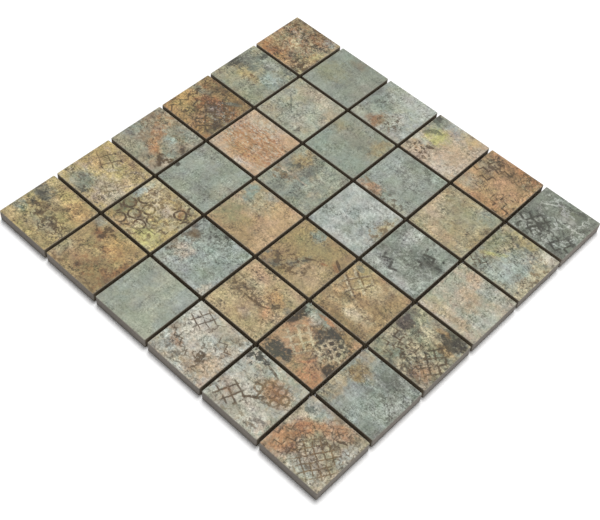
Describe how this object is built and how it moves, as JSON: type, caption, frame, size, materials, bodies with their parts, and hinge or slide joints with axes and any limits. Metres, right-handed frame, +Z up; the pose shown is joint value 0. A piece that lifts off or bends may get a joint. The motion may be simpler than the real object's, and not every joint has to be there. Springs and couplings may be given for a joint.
{
  "type": "mosaic tile sheet",
  "caption": "Flat square sheet of small square ceramic tiles with mottled antique glazes, set in rows with open joints on a glued glass-yarn scrim.",
  "frame": {"origin": "under the middle of the sheet, on the plane it lies on (the scrim's underside)", "axes": "+Z up, out of the glazed faces; +X along a row of tiles; +Y along a column of tiles, towards row 1"},
  "size_m": [0.3, 0.3, 0.009],
  "materials": {
    "glaze_rust": "matt rust-brown glaze on pressed body",
    "glaze_sage": "matt grey-green glaze on pressed body",
    "glaze_sand": "matt sand glaze on pressed body",
    "glaze_slate": "matt dark grey-green glaze on pressed body",
    "glaze_silver": "matt pale blue-grey glaze on pressed body",
    "glaze_umber": "matt dark brown glaze on pressed body",
    "glaze_peach": "matt peach glaze on pressed body",
    "glaze_ochre": "matt ochre glaze on pressed body",
    "glaze_cream": "matt cream glaze on pressed body",
    "glass_yarn": "resin-sized glass yarn"
  },
  "bodies": {
    "root": {"tile_r1_c1": "glaze_rust", "tile_r1_c2": "glaze_sage", "tile_r1_c3": "glaze_sage", "tile_r1_c4": "glaze_sand", "tile_r1_c5": "glaze_rust", "tile_r1_c6": "glaze_slate", "tile_r2_c1": "glaze_sage", "tile_r2_c2": "glaze_sage", "tile_r2_c3": "glaze_sage", "tile_r2_c4": "glaze_sage", "tile_r2_c5": "glaze_sand", "tile_r2_c6": "glaze_silver", "tile_r3_c1": "glaze_umber", "tile_r3_c2": "glaze_peach", "tile_r3_c3": "glaze_sage", "tile_r3_c4": "glaze_silver", "tile_r3_c5": "glaze_slate", "tile_r3_c6": "glaze_peach", "tile_r4_c1": "glaze_sage", "tile_r4_c2": "glaze_sage", "tile_r4_c3": "glaze_sand", "tile_r4_c4": "glaze_ochre", "tile_r4_c5": "glaze_sand", "tile_r4_c6": "glaze_slate", "tile_r5_c1": "glaze_ochre", "tile_r5_c2": "glaze_ochre", "tile_r5_c3": "glaze_silver", "tile_r5_c4": "glaze_sand", "tile_r5_c5": "glaze_umber", "tile_r5_c6": "glaze_slate", "tile_r6_c1": "glaze_ochre", "tile_r6_c2": "glaze_ochre", "tile_r6_c3": "glaze_sage", "tile_r6_c4": "glaze_silver", "tile_r6_c5": "glaze_cream", "tile_r6_c6": "glaze_rust", "scrim_warp": "glass_yarn", "scrim_weft": "glass_yarn"}
  },
  "joints": []
}
